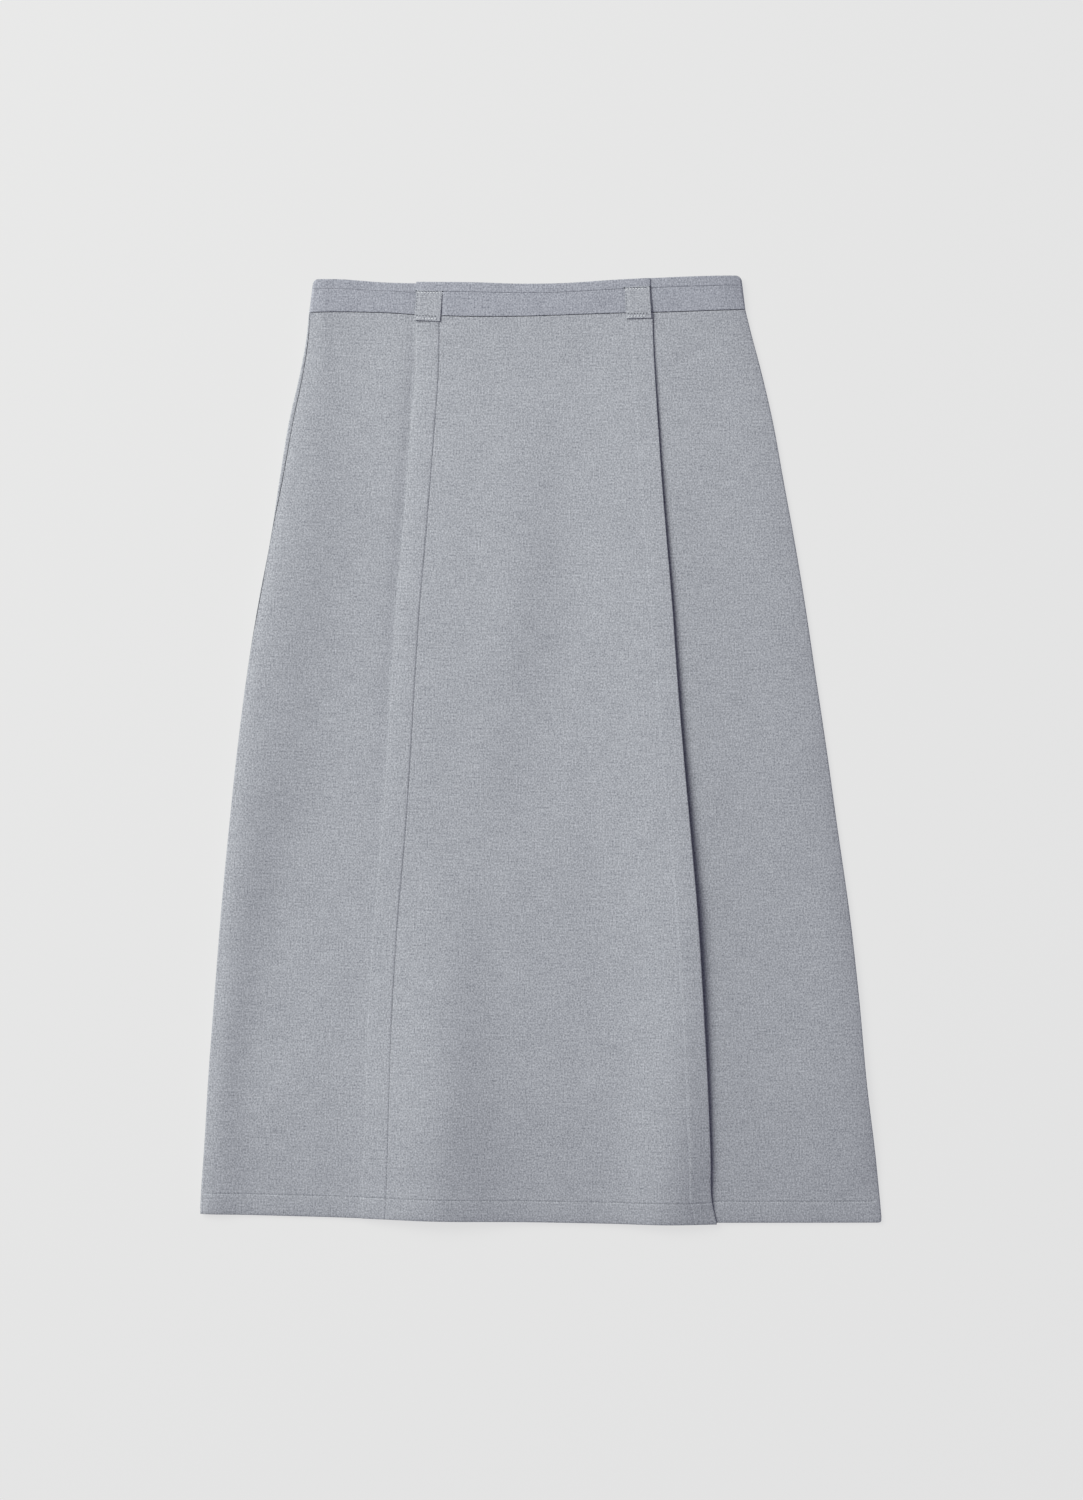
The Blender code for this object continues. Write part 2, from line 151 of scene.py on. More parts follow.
# The roll of cloth along the left side: its height above the front's middle, and its width.
SIDES = [
    Side(0, 2.6, 20),
    Side(30, 2.8, 23),
    Side(90, 4.6, 31),
    Side(160, 7.0, 43),
    Side(240, 8.2, 47),
    Side(330, 8.2, 45),
    Side(410, 8.0, 38),
    Side(490, 6.4, 28),
    Side(570, 4.6, 21),
    Side(650, 3.6, 15),
    Side(700, 3.8, 23),
    Side(752, 3.4, 19),
]
OUTER_FALL = 1.3  # from the roll's crest to the rim of its side
WAIST_FALL = 0.4  # the same at the waist
FALL_FULL = 200.0  # the drop by which it has grown from the one to the other

Level = namedtuple("Level", "drop height")
# How far the front stands off the back in its middle. It comes up onto the waistband at the top,
# and down to the hem.
LEVELS = [
    Level(0, 4.0),
    Level(25, 3.0),
    Level(60, 2.3),
    Level(120, 2.4),
    Level(400, 3.2),
    Level(600, 5.8),
    Level(650, 6.6),
    Level(700, 4.6),
    Level(752, 0.4),
]


def left_lift(drop):
    """How far the rim of the left side is pulled up."""
    crest = smooth(LEVELS, "height", drop) + smooth(SIDES, "roll", drop)
    return crest - WAIST_FALL - (OUTER_FALL - WAIST_FALL) * ramp(drop / FALL_FULL)


def rim_point(round_rim, radius, lift):
    """Across and up from the outline, at a distance round a side's rim from the underside."""
    angle = np.clip(round_rim / RIM, 0, np.pi)
    flat = np.maximum(round_rim - np.pi * RIM, 0) + np.maximum(-round_rim, 0)
    up = RIM - radius * np.cos(angle) + lift * (1 - np.cos(angle)) / 2
    return RIM_WIDTH * (RIM - radius * np.sin(angle)) + flat, up


def seam_gap(seam, lift):
    """Half the gap at a side seam, as a distance round the rim before the lift stretches it."""
    angle = np.clip(seam / RIM, 0, np.pi)
    stretch = np.hypot(RIM_WIDTH * np.cos(angle), (1 + lift / (2 * RIM)) * np.sin(angle))
    return np.where(seam > np.pi * RIM, SEAM_GAP / 2, SEAM_GAP / 2 / stretch)


def right_side(drop):
    """The right side's outline, with its corner at the hem rounded."""
    over = np.clip(drop - (LENGTH - HEM_CORNER), 0, HEM_CORNER)
    return across(drop, "right") - HEM_CORNER + np.sqrt(HEM_CORNER**2 - over**2)


def spread(left, right, left_lines, right_lines, spacing):
    """Grid lines from one edge to the other: the ones named at each edge, and even ones between."""
    near = left + np.array(left_lines)
    far = right - np.array(right_lines)[::-1]
    room = float(np.max(far[:, :1] - near[:, -1:]))
    steps = np.linspace(0, 1, max(round(room / spacing), 1) + 1)[1:-1]
    between = near[:, -1:] + (far[:, :1] - near[:, -1:]) * steps
    return np.hstack([near, between, far])


def rows_down(spacing):
    """Grid lines down a panel, close together at the waist seam, the hem stitch and the hem."""
    first = np.array([SEAM_GAP / 2, 0.4, 0.9, 1.6, 3, 5])
    at_stitch = LENGTH - HEM + np.array([-4, -2.4, -1.2, -0.6, -0.3, 0, 0.3, 0.6, 1.2, 2.4, 4])
    last = LENGTH - np.array([3, 1.5, 0.8, 0.4, 0.12, 0])
    middle = np.arange(first[-1] + spacing, at_stitch[0] - spacing / 2, spacing)
    below = np.arange(at_stitch[-1] + spacing, last[0] - spacing / 2, spacing)
    return np.concatenate([first, middle, at_stitch, below, last])[:, None]


def rounded(face, underside, distance, radius):
    """Brings both sides of a cloth together in a half round at an edge that is this far away."""
    near = np.clip(distance / radius, 0, 1)
    share = np.sqrt(1 - (1 - near) ** 2) * (1 - EDGE_LEFT) + EDGE_LEFT
    middle, half = (face + underside) / 2, (face - underside) / 2
    return middle + half * share, middle - half * share


def points(x, y, z):
    return np.stack(np.broadcast_arrays(x, y, z), axis=2)


def cloth(name, face, underside, finish, node, cut_at=(0, 0), grain=0.0):
    """A closed piece of cloth from the grids of its face and its underside, with rows from the
    waist down. Its UVs are metres of flat cloth, so that the weave keeps its real size. cut_at is
    where on the roll the piece was cut, and grain is its turn there, in degrees."""
    rows, columns = face.shape[:2]
    count = rows * columns
    place = np.arange(count).reshape(rows, columns)
    corners = [place[:-1, :-1], place[1:, :-1], place[1:, 1:], place[:-1, 1:]]
    quads = np.stack(corners, axis=2).reshape(-1, 4)
    turn = [place[:-1, 0], place[-1, :-1], place[:0:-1, -1], place[0, :0:-1]]
    edge = np.concatenate(turn)
    following = np.roll(edge, -1)
    rim = np.stack([edge, edge + count, following + count, following], axis=1)
    faces = np.concatenate([quads, quads[:, ::-1] + count, rim])
    corner_points = np.concatenate([face.reshape(-1, 3), underside.reshape(-1, 3)]) * MM

    steps = np.linalg.norm(np.diff(face, axis=1), axis=2)
    run = np.hstack([np.zeros((rows, 1)), np.cumsum(steps, axis=1)])
    middle = columns // 2
    u = face[:, middle : middle + 1, 0] + run - run[:, middle : middle + 1] + cut_at[0]
    v = face[:, :, 1] + cut_at[1]
    angle = np.radians(grain)
    turned = np.stack([u * np.cos(angle) - v * np.sin(angle), u * np.sin(angle) + v * np.cos(angle)])
    flat = np.tile(turned.reshape(2, -1).T, (2, 1)) * MM

    mesh = bpy.data.meshes.new(name)
    mesh.from_pydata(corner_points.tolist(), [], faces.tolist())
    loops = np.empty(len(mesh.loops), np.int32)
    mesh.loops.foreach_get("vertex_index", loops)
    mesh.uv_layers.new(name="flat_cloth").data.foreach_set("uv", flat[loops].ravel())
    mesh.materials.append(finish)
    mesh.shade_smooth()
    piece = bpy.data.objects.new(name, mesh)
    bpy.context.scene.collection.objects.link(piece)
    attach(piece, "root")
    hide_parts(node)
    return piece


def linear(code):
    """An sRGB hex colour as linear RGBA."""
    parts = np.array([int(code[i : i + 2], 16) for i in (1, 3, 5)]) / 255
    low = parts / 12.92
    high = ((parts + 0.055) / 1.055) ** 2.4
    return (*np.where(parts <= 0.04045, low, high).tolist(), 1)


def add(tree, kind, inputs=None, **settings):
    """Adds a node with its settings. An input is a value, or a socket to link from."""
    made = tree.nodes.new(kind)
    for name, value in settings.items():
        setattr(made, name, value)
    for name, value in (inputs or {}).items():
        if isinstance(value, bpy.types.NodeSocket):
            tree.links.new(value, made.inputs[name])
        else:
            made.inputs[name].default_value = value
    return made


Fleck = namedtuple("Fleck", "across along detail rough tone relief")
# What shows of the yarns: how long each kind of fleck is across the skirt and down it, in
# millimetres, its fine detail, and how much it does to the tone and to the relief. The yarns lie
# 0.55 mm apart, too fine to show, so the smallest flecks are as wide as two or three of them.
FLECKS = [
    Fleck(1.25, 1.45, 1.5, 0.6, 1.4, 0.6),  # light and dark fibres
    Fleck(20.0, 1.2, 1.0, 0.5, 0.3, 0.6),  # slubs in the yarns across
    Fleck(1.1, 13.0, 1.0, 0.5, 0.3, 0.6),  # slubs in the yarns down
    Fleck(26.0, 34.0, 2.0, 0.5, 0.09, 0.0),  # uneven dye
]


def suiting(name, light, dark):
    """Melange suiting: light and dark fibres spun together. It gives a matt, slightly fuzzy
    surface, flecked along both yarns, with short slubs that run across the skirt."""
    made = bpy.data.materials.new(name)
    made.use_nodes = True
    tree = made.node_tree
    shader = tree.nodes["Principled BSDF"]
    flat = add(tree, "ShaderNodeUVMap", uv_map="flat_cloth").outputs["UV"]
    tone, relief = 0.5, 0.0
    for fleck in FLECKS:
        size = (1 / (fleck.across * MM), 1 / (fleck.along * MM), 1)
        scaled = add(tree, "ShaderNodeMapping", {"Vector": flat, "Scale": size}).outputs["Vector"]
        noise = add(
            tree,
            "ShaderNodeTexNoise",
            {"Vector": scaled, "Scale": 1.0, "Detail": fleck.detail, "Roughness": fleck.rough},
            noise_dimensions="2D",
        )
        centred = add(
            tree, "ShaderNodeMath", {0: noise.outputs["Fac"], 1: 0.5}, operation="SUBTRACT"
        ).outputs[0]
        tone = add(
            tree, "ShaderNodeMath", {0: centred, 1: fleck.tone, 2: tone}, operation="MULTIPLY_ADD"
        ).outputs[0]
        relief = add(
            tree, "ShaderNodeMath", {0: centred, 1: fleck.relief, 2: relief}, operation="MULTIPLY_ADD"
        ).outputs[0]
    mixed = add(tree, "ShaderNodeValToRGB", {"Fac": tone})
    mixed.color_ramp.elements[0].color = linear(dark)
    mixed.color_ramp.elements[1].color = linear(light)
    tree.links.new(mixed.outputs["Color"], shader.inputs["Base Color"])
    bump = add(tree, "ShaderNodeBump", {"Height": relief, "Strength": 0.25, "Distance": 0.12 * MM})
    tree.links.new(bump.outputs["Normal"], shader.inputs["Normal"])
    shader.inputs["Roughness"].default_value = 0.88
    shader.inputs["IOR"].default_value = 1.45
    shader.inputs["Specular IOR Level"].default_value = 0.25
    shader.inputs["Sheen Weight"].default_value = 0.12
    shader.inputs["Sheen Roughness"].default_value = 0.5
    return made


panel_suiting = suiting("suiting_plain_weave", "#cdd0d7", "#7e818a")

drop = rows_down(spacing=8.0)
left, right = across(drop, "left"), right_side(drop)
seam, lift = across(drop, "seam"), left_lift(drop)
# the grid lines: distances round the left rim and the right one, and places between them
left_round = (seam - seam_gap(seam, lift)) * np.linspace(1, 0, 13)
right_round = (PLAIN_SEAM - seam_gap(PLAIN_SEAM, 0)) * np.linspace(0, 1, 9) + 0 * drop
beside_rim = [2, 6]
flat_x = spread(left + RIM, right - RIM, beside_rim, beside_rim, spacing=12.0)


def back_side(radius, thickness):
    """A side of the back panel, which passes round the rim at that radius."""
    left_across, left_up = rim_point(left_round, radius, lift)
    right_across, right_up = rim_point(right_round, radius, 0.0)
    x = np.hstack([left + left_across, flat_x, right - right_across])
    up = np.hstack([left_up, thickness + 0 * flat_x, right_up])
    short = BACK_SHORT * ramp((drop - LENGTH + SHORT_REACH) / SHORT_REACH)
    y = np.maximum(along(x, drop, "front", short), along(x, drop, "underlap", short))
    return x, y, up


x, y, underside = back_side(RIM, 0.0)
inner_x, inner_y, face = back_side(RIM - CLOTH_WALL, CLOTH_WALL)
inside = ramp((np.minimum(x - left, right - x) - RIM) / SIDE_FADE)
face = face + TURNING * hem_turning(drop) * inside
face, underside = rounded(face, underside, LENGTH - drop, EDGE_ROUND)
back = cloth(
    "back_panel_cloth",
    points(inner_x, inner_y, face),
    points(x, y, underside),
    panel_suiting,
    "back_panel",
    cut_at=(900, 200),
    grain=0.4,
)

# ----------------------------------------------------------------------------------------------
# Underlap panel. The right half of the front: it is sewn to the back down the right side, and
# runs on beneath the wrap panel to a hidden edge. It stands a few millimetres off the back in
# soft folds, which the panels above it share, and its hem is turned up and stitched.

UNDERLAP = 90.0  # from the lap to the hidden edge
ROLL_IN = 9.5  # from the left side to the crest of the roll along it
ROLL_OUTER = 24.0  # the roll's width on its outer side
RIGHT_ROLL = 3.4  # how far the right side falls off
RIGHT_REACH = 12.0  # how near to that side
HEM_FALL = 0.9  # how far the hem turns down
HEM_REACH = 2.6  # how near to its edge
FOLD_REACH = 14.0  # how far in from a side the folds have their full height
FOLD_GROWTH = 1.6  # how fast a fold grows from its top end, in parts of its length
FOLD_FADE = 5.0  # how fast it dies out at its foot
LAP_SINK = 0.9  # how far the stitched lap is pressed down at the hip
SINK_FULL = 50.0  # the drop by which it is pressed down fully
SINK_FADE = 350.0  # the length over which that fades out again
SINK_END = 420.0  # the drop by which it has faded out
SINK_BANK = 7.0  # width of the bank on its left
SINK_REACH = 25.0  # how far it reaches on its right

Fold = namedtuple("Fold", "x_top drop_top x_foot drop_foot width_top width_foot height")
# A soft ridge along a straight line, or a trough where its height is below 0. It grows from
# nothing at the top end, and dies out again if its foot lies on the cloth.
FOLDS = [
    Fold(-84, 400, -88, 900, 26, 58, 9.8),
    Fold(78, -150, 150, 780, 34, 36, 2.2),
    Fold(106, 520, 101, 900, 26, 34, 5.8),
    Fold(46, 40, -18, 470, 26, 34, -1.6),
    Fold(-26, 30, -22, 330, 24, 26, 1.2),
    Fold(99, 52, 140, 27, 12, 12, -0.6),
    Fold(-83, -300, -136, 470, 7, 7, -0.8),
    Fold(-176, -70, -170, 70, 6, 6, -0.5),
]

Ripple = namedtuple("Ripple", "length direction phase height")
# The cloth's slackness: long low waves that cross each other, in millimetres and degrees.
RIPPLES = [
    Ripple(61, 8, 0.3, 0.06),
    Ripple(83, 64, 1.9, 0.07),
    Ripple(47, 118, 4.1, 0.04),
    Ripple(37, 31, 2.2, 0.03),
    Ripple(29, 152, 5.3, 0.02),
    Ripple(113, 95, 0.9, 0.09),
]


def slack(x, drop):
    total = 0 * (x + drop)
    for ripple in RIPPLES:
        angle = np.radians(ripple.direction)
        way = x * np.cos(angle) + drop * np.sin(angle)
        total = total + ripple.height * np.sin(2 * np.pi * way / ripple.length + ripple.phase)
    return total


def fold_height(x, drop):
    total = 0 * (x + drop)
    for fold in FOLDS:
        way = (drop - fold.drop_top) / (fold.drop_foot - fold.drop_top)
        crest = fold.x_top + (fold.x_foot - fold.x_top) * way
        width = fold.width_top + (fold.width_foot - fold.width_top) * np.clip(way, 0, 1)
        rise = ramp(way * FOLD_GROWTH) * ramp((1 - way) * FOLD_FADE)
        total = total + fold.height * rise * np.exp(-(((x - crest) / width) ** 2))
    return total


def lap_sink(x, drop):
    from_lap = x - across(drop, "lap")
    depth = LAP_SINK * ramp(drop / SINK_FULL) * ramp((SINK_END - drop) / SINK_FADE)
    return depth * ramp(1 + from_lap / SINK_BANK) * np.exp(-np.maximum(from_lap, 0) / SINK_REACH)


def front_rise(x, drop):
    """How far the front's lower layer stands above the rim of a side that isn't pulled up."""
    from_left, from_right = x - across(drop, "left"), across(drop, "right") - x
    level = smooth(LEVELS, "height", drop)
    past = from_left - ROLL_IN
    width = np.where(past > 0, smooth(SIDES, "width", drop), ROLL_OUTER)
    middle = level + smooth(SIDES, "roll", drop) * np.exp(-((past / width) ** 2))
    lift = left_lift(drop)
    outer = np.clip(from_left / ROLL_IN, 0, 1)
    left = lift + (middle - lift) * (1 - (1 - outer) ** 2)
    right_fall = np.exp(-np.maximum(from_right, 0) / RIGHT_REACH)
    right = level - np.minimum(level, RIGHT_ROLL) * right_fall
    side = np.where(from_left < from_right, left, right)
    side = side - HEM_FALL * np.exp((drop - LENGTH) / HEM_REACH)
    soft = fold_height(x, drop) + slack(x, drop) - lap_sink(x, drop)
    return side + soft * ramp(np.minimum(from_left, from_right) / FOLD_REACH)


SEAM_GROOVE = (0.3, 0.5)  # depth and width of the groove where a turning is stitched
PUCKERS = [(1.7, 0), (2.9, 1), (4.3, 2)]  # length and phase of the waves along a seam
PUCKER_HEIGHT = 0.03
PUCKER_REACH = 5.0


def stitch_line(distance, way, depth=0.2, width=0.8):
    """The groove that a row of stitches pulls, with the small puckers along it."""
    pucker = sum(np.sin(way / length + phase) for length, phase in PUCKERS)
    groove = -depth * np.exp(-((distance / width) ** 2))
    return groove + PUCKER_HEIGHT * pucker * np.exp(-((distance / PUCKER_REACH) ** 2))


def rim_columns(drop, seam, outline, way, lines, radius, lift=0.0):
    """x and height of a front panel's grid lines beside a side seam. way is 1 at the left side and
    -1 at the right one."""
    out, up = rim_point(seam + seam_gap(seam, lift) + np.array(lines) + 0 * drop, radius, lift)
    x = outline + way * out
    over = ramp((up - RIM) / radius)
    return x, up + (front_rise(x, drop) - lift) * over


RIM_LINES = [0, 0.3, 0.7, 1.2, 1.8, 2.5, 3.4, 4.6, 6, 8, 10.5, 13, 16]
HIDDEN_LINES = [0, 0.3, 0.8]  # at an edge that lies out of sight
FRONT_TOP = 2 * RIM

drop = rows_down(spacing=3.2)
hem_distance = drop - (LENGTH - HEM)
hidden = across(drop, "lap") + UNDERLAP
rim_start = rim_columns(drop, PLAIN_SEAM, right_side(drop), -1, RIM_LINES[-1:], RIM)[0]
inner = spread(hidden, rim_start, HIDDEN_LINES, [3], spacing=4.0)


def underlap_side(radius):
    rim_x, rim_up = rim_columns(drop, PLAIN_SEAM, right_side(drop), -1, RIM_LINES, radius)
    up = RIM + radius + front_rise(inner, drop)
    return np.hstack([inner, rim_x[:, ::-1]]), np.hstack([up, rim_up[:, ::-1]])


x, face = underlap_side(RIM)
under_x, underside = underlap_side(RIM - CLOTH_WALL)
inside = ramp((across(drop, "right") - x - RIM) / SIDE_FADE)
stitched = TURNING * hem_turning(drop) + stitch_line(hem_distance, x, *SEAM_GROOVE)
face = face + stitched * inside
face, underside = rounded(face, underside, LENGTH - drop, EDGE_ROUND)
underlap = cloth(
    "underlap_panel_cloth",
    points(x, along(x, drop, "underlap"), face),
    points(under_x, along(under_x, drop, "underlap"), underside),
    panel_suiting,
    "front_underlap",
    cut_at=(-400, 1300),
    grain=-1.2,
)

Stitches = namedtuple("Stitches", "pitch length radius")
SEAM_STITCH = Stitches(2.6, 2.0, 0.13)
THREAD_SEAT = TURNING / 2 - 0.08  # how high a thread lies in the groove of a turning
THREAD_END = 3.5  # from a side to the end of the hem's stitches
THREAD_UNDER = 20.0  # how far the underlap's run on beneath the wrap panel


def thread_finish(name, color):
    """Spun polyester sewing thread. It is smoother than the suiting, so each stitch shows as a fine
    dash."""
    made = bpy.data.materials.new(name)
    made.use_nodes = True
    shader = made.node_tree.nodes["Principled BSDF"]
    shader.inputs["Base Color"].default_value = linear(color)
    shader.inputs["Roughness"].default_value = 0.55
    shader.inputs["IOR"].default_value = 1.5
    shader.inputs["Sheen Weight"].default_value = 0.1
    return made


sewing_thread = thread_finish("polyester_sewing_thread", "#c6cad2")
# the same thread pulled into the cloth, coloured dark as painted shade of the dips it pulls, so that
# it shows only as a row of dark dips
dark_thread_painted_shade = thread_finish("polyester_sewing_thread_painted_shade", "#777b85")


def sew(name, line, stitch=SEAM_STITCH, lift=0.05, finish=sewing_thread):
    """A row of stitches along a line of points on the cloth, as one joined mesh. Each stitch is a
    short round thread whose ends go down into the cloth."""
    line = np.asarray(line, float)
    run = np.concatenate([[0], np.cumsum(np.linalg.norm(np.diff(line, axis=0), axis=1))])
    count = int((run[-1] - stitch.length) / stitch.pitch)
    starts = stitch.pitch * (np.arange(count) + 0.2)
    # the rings along one stitch: their places, their radii and their heights
    ways = np.array([0, 0.12, 0.5, 0.88, 1.0])
    widths = np.array([0.3, 0.85, 1.0, 0.85, 0.3]) * stitch.radius
    lifts = np.array([-0.22, 0.02, lift, 0.02, -0.22])
    sides = 6
    angles = 2 * np.pi * np.arange(sides) / sides
    ring = np.stack([np.cos(angles), np.sin(angles)], axis=1)
    at = starts[:, None] + ways * stitch.length
    centre = np.stack([np.interp(at, run, line[:, axis]) for axis in range(3)], axis=2)
    centre[:, :, 2] += lifts
    along_line = centre[:, -1] - centre[:, 0]
    along_line /= np.linalg.norm(along_line, axis=1, keepdims=True)
    sideways = np.cross(along_line, [0, 0, 1])
    sideways /= np.linalg.norm(sideways, axis=1, keepdims=True)
    upward = np.cross(sideways, along_line)
    offset = ring[:, :1] * sideways[:, None, None] + ring[:, 1:] * upward[:, None, None]
    rings = centre[:, :, None] + offset * widths[None, :, None, None]
    corner_points = rings.reshape(-1, 3) * MM
    per_stitch = len(ways) * sides
    side = np.arange(sides)
    following = (side + 1) % sides
    band = np.stack([side, following, following + sides, side + sides], axis=1)
    quads = np.concatenate([band + level * sides for level in range(len(ways) - 1)])
    firsts = per_stitch * np.arange(count)
    faces = (firsts[:, None, None] + quads[None]).reshape(-1, 4).tolist()
    faces += (firsts[:, None] + side[::-1]).tolist()
    faces += (firsts[:, None] + per_stitch - sides + side).tolist()
    mesh = bpy.data.meshes.new(name)
    mesh.from_pydata(corner_points.tolist(), [], faces)
    mesh.materials.append(finish)
    mesh.shade_smooth()
    piece = bpy.data.objects.new(name, mesh)
    bpy.context.scene.collection.objects.link(piece)
    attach(piece, "root")
    return piece


def front_top(x, drop):
    return FRONT_TOP + front_rise(x, drop)


seam_drop = LENGTH - HEM
start, end = across(seam_drop, "free") - THREAD_UNDER, across(seam_drop, "right") - THREAD_END
x = np.linspace(start, end, 120)
height = front_top(x, seam_drop) + THREAD_SEAT
line = np.stack([x, along(x, seam_drop, "underlap"), height], axis=1)
underlap_hem_thread = sew("underlap_hem_stitching", line, lift=0.0, finish=dark_thread_painted_shade)

# ----------------------------------------------------------------------------------------------
# Left front panel. It is sewn to the back down the left side, a little in from the edge at the
# hip, and its other edge is hidden under the lap. Its hem is turned up and stitched.

LAP = 19.5  # depth of the turning at the lap

drop = rows_down(spacing=3.2)
hem_distance = drop - (LENGTH - HEM)
seam, outline = across(drop, "seam"), across(drop, "left")
rim_end = rim_columns(drop, seam, outline, 1, RIM_LINES[-1:], RIM)[0]
inner = spread(rim_end, across(drop, "lap") + LAP, [3], HIDDEN_LINES, spacing=4.0)


def left_side(radius):
    lift = left_lift(drop)
    rim_x, rim_up = rim_columns(drop, seam, outline, 1, RIM_LINES, radius, lift)
    up = RIM + radius + front_rise(inner, drop)
    return np.hstack([rim_x, inner]), np.hstack([rim_up, up])


x, face = left_side(RIM)
under_x, underside = left_side(RIM - CLOTH_WALL)
inside = ramp((x - outline - RIM) / SIDE_FADE)
stitched = TURNING * hem_turning(drop) + stitch_line(hem_distance, x, *SEAM_GROOVE)
face = face + stitched * inside
face, underside = rounded(face, underside, LENGTH - drop, EDGE_ROUND)
left_panel = cloth(
    "left_panel_cloth",
    points(x, along(x, drop, "front"), face),
    points(under_x, along(under_x, drop, "front"), underside),
    panel_suiting,
    "front_left",
    cut_at=(1700, -300),
    grain=0.9,
)
x = np.linspace(across(seam_drop, "left") + THREAD_END, across(seam_drop, "lap") - 1, 120)
height = front_top(x, seam_drop) + THREAD_SEAT
line = np.stack([x, along(x, seam_drop, "front"), height], axis=1)
left_hem_thread = sew("left_hem_stitching", line, lift=0.0, finish=dark_thread_painted_shade)

# ----------------------------------------------------------------------------------------------
# Wrap panel. It lies on the other two. Its left edge is folded under and stitched down through
# them, which makes the lap. Its right edge is turned under, stitched and left free, and stands
# off more towards the hem.

FREE_TURNING = 18.0  # depth of the turning at the free edge
AIR = 0.4  # between layers that lie on each other
BAND_LAYER = 1.9  # from one waistband's underside to the next one's
BAND_REACH = 14.0  # how soon the panel comes down from the waistband's height
EDGE_REACH = 92.0  # from the free edge to where the panel lies on the underlap
DROOP_REACH = 24.0  # width of the strip along it that droops
TURNED_STEP = 2.0  # width of the step at the edge of the lap's and the free edge's turning
LAP_PRESS = 0.5  # how much closer the pressed fold of the lap lies
LAP_REACH = 6.0  # how near to that fold
LAP_SHARP = 2.2  # how many times sharper that fold is than the free edge
LAP_SOFT = 560.0  # the drop from which the lap's turning shows less
LAP_FADE = 80.0  # the length over which it stops showing
CORNER_PRESS = 0.35  # how much closer the free edge lies below the hem's stitching
CORNER_REACH = 8.0  # how near to the free edge
SOFT_SHARE = 0.3  # how much of the free edge's turning shows near the waist
FIRM_FROM = 400.0  # the drop from which more of it shows
FIRM_LENGTH = 120.0  # the length over which it comes out fully
FREE_SINK = 0.14  # how much deeper the free edge's stitches lie near the waist
SINK_OUT = 480.0  # the drop from which they come up
SINK_OUT_LENGTH = 60.0  # the length over which they do
OVER_START = 12.0  # how far above a hem's turning the layer on top of it starts to rise
OVER_LENGTH = 11.0  # the length over which it does

Edge = namedtuple("Edge", "drop lift droop")
# How far the free side stands off the underlap, and how far its turning droops again.
EDGES = [
    Edge(0, 0.0, 0.0),
    Edge(75, 1.6, 0.0),
    Edge(150, 2.8, 0.0),
    Edge(250, 3.6, 0.0),
    Edge(335, 4.7, 0.0),
    Edge(430, 6.5, 0.4),
    Edge(500, 8.0, 0.9),
    Edge(580, 7.2, 1.6),
    Edge(660, 5.3, 2.0),
    Edge(720, 3.8, 2.3),
    Edge(734, 2.6, 2.1),
    Edge(742, 1.8, 1.8),
    Edge(752, 1.6, 1.6),
]


def firmness(drop):
    """How clearly the free edge's turning shows. It is softer towards the waist."""
    return SOFT_SHARE + (1 - SOFT_SHARE) * ramp((drop - FIRM_FROM) / FIRM_LENGTH)


def over_turning(drop):
    """1 where a layer lies on the hem's turning of the one below, with a softer step."""
    return ramp((drop - (LENGTH - HEM - OVER_START)) / OVER_LENGTH)


def wrap_top(x, drop):
    """Height of the wrap panel's face where it is one layer thick."""
    from_free = across(drop, "free") - x
    rise = smooth(EDGES, "lift", drop) * ramp(1 - from_free / EDGE_REACH)
    rise = rise - smooth(EDGES, "droop", drop) * np.clip(1 - from_free / DROOP_REACH, 0, 1) ** 1.5
    waist = (BAND_LAYER - CLOTH - AIR) * np.exp(-drop / BAND_REACH)
    press = LAP_PRESS * np.exp((across(drop, "lap") - x) / LAP_REACH)
    at_corner = ramp((drop - LENGTH + HEM) / CORNER_REACH) * np.exp(-from_free / CORNER_REACH)
    press = press + CORNER_PRESS * at_corner
    return front_top(x, drop) + CLOTH + AIR + TURNING * over_turning(drop) + rise + waist - press


drop = rows_down(spacing=3.0)
hem_distance = drop - (LENGTH - HEM)
lap, free = across(drop, "lap"), across(drop, "free")
AT_STITCH = np.array([-3, -1.6, -0.8, -0.4, 0, 0.4, 0.8, 1.6, 3])
LAP_LINES = [0, 0.12, 0.35, 0.8, 1.6, 3, 6, 9.5, 13, *(LAP + AT_STITCH)]
FREE_LINES = [0, 0.12, 0.35, 0.8, 1.6, 3, 5.5, 8.5, 11.5, *(FREE_TURNING + AT_STITCH)]
x = spread(lap, free, LAP_LINES, FREE_LINES, spacing=3.4)
at_lap = ramp((lap + LAP + TURNED_STEP / 2 - x) / TURNED_STEP)
at_lap = at_lap * (1 - ramp((drop - LAP_SOFT) / LAP_FADE))
at_free = firmness(drop) * ramp((x - free + FREE_TURNING + TURNED_STEP / 2) / TURNED_STEP)
turned = np.maximum(np.maximum(at_lap, at_free), hem_turning(drop))
plain = wrap_top(x, drop)
lap_distance, free_distance = x - lap - LAP, x - free + FREE_TURNING
face = plain + TURNING * turned
face = face + stitch_line(lap_distance, drop, *SEAM_GROOVE)
face = face + stitch_line(hem_distance, x, *SEAM_GROOVE)
# its puckers are shifted by 40 mm, so that they don't repeat the lap's
face = face + firmness(drop) * stitch_line(free_distance, drop + 40)
underside = plain - CLOTH_WALL
distance = np.minimum(np.minimum(LAP_SHARP * (x - lap), free - x), LENGTH - drop)
face, underside = rounded(face, underside, distance, EDGE_ROUND)
wrap = cloth(
    "wrap_panel_cloth",
    points(x, along(x, drop, "front"), face),
    points(x, along(x, drop, "front"), underside),
    panel_suiting,
    "front_wrap",
    cut_at=(300, -1100),
    grain=0.3,
)

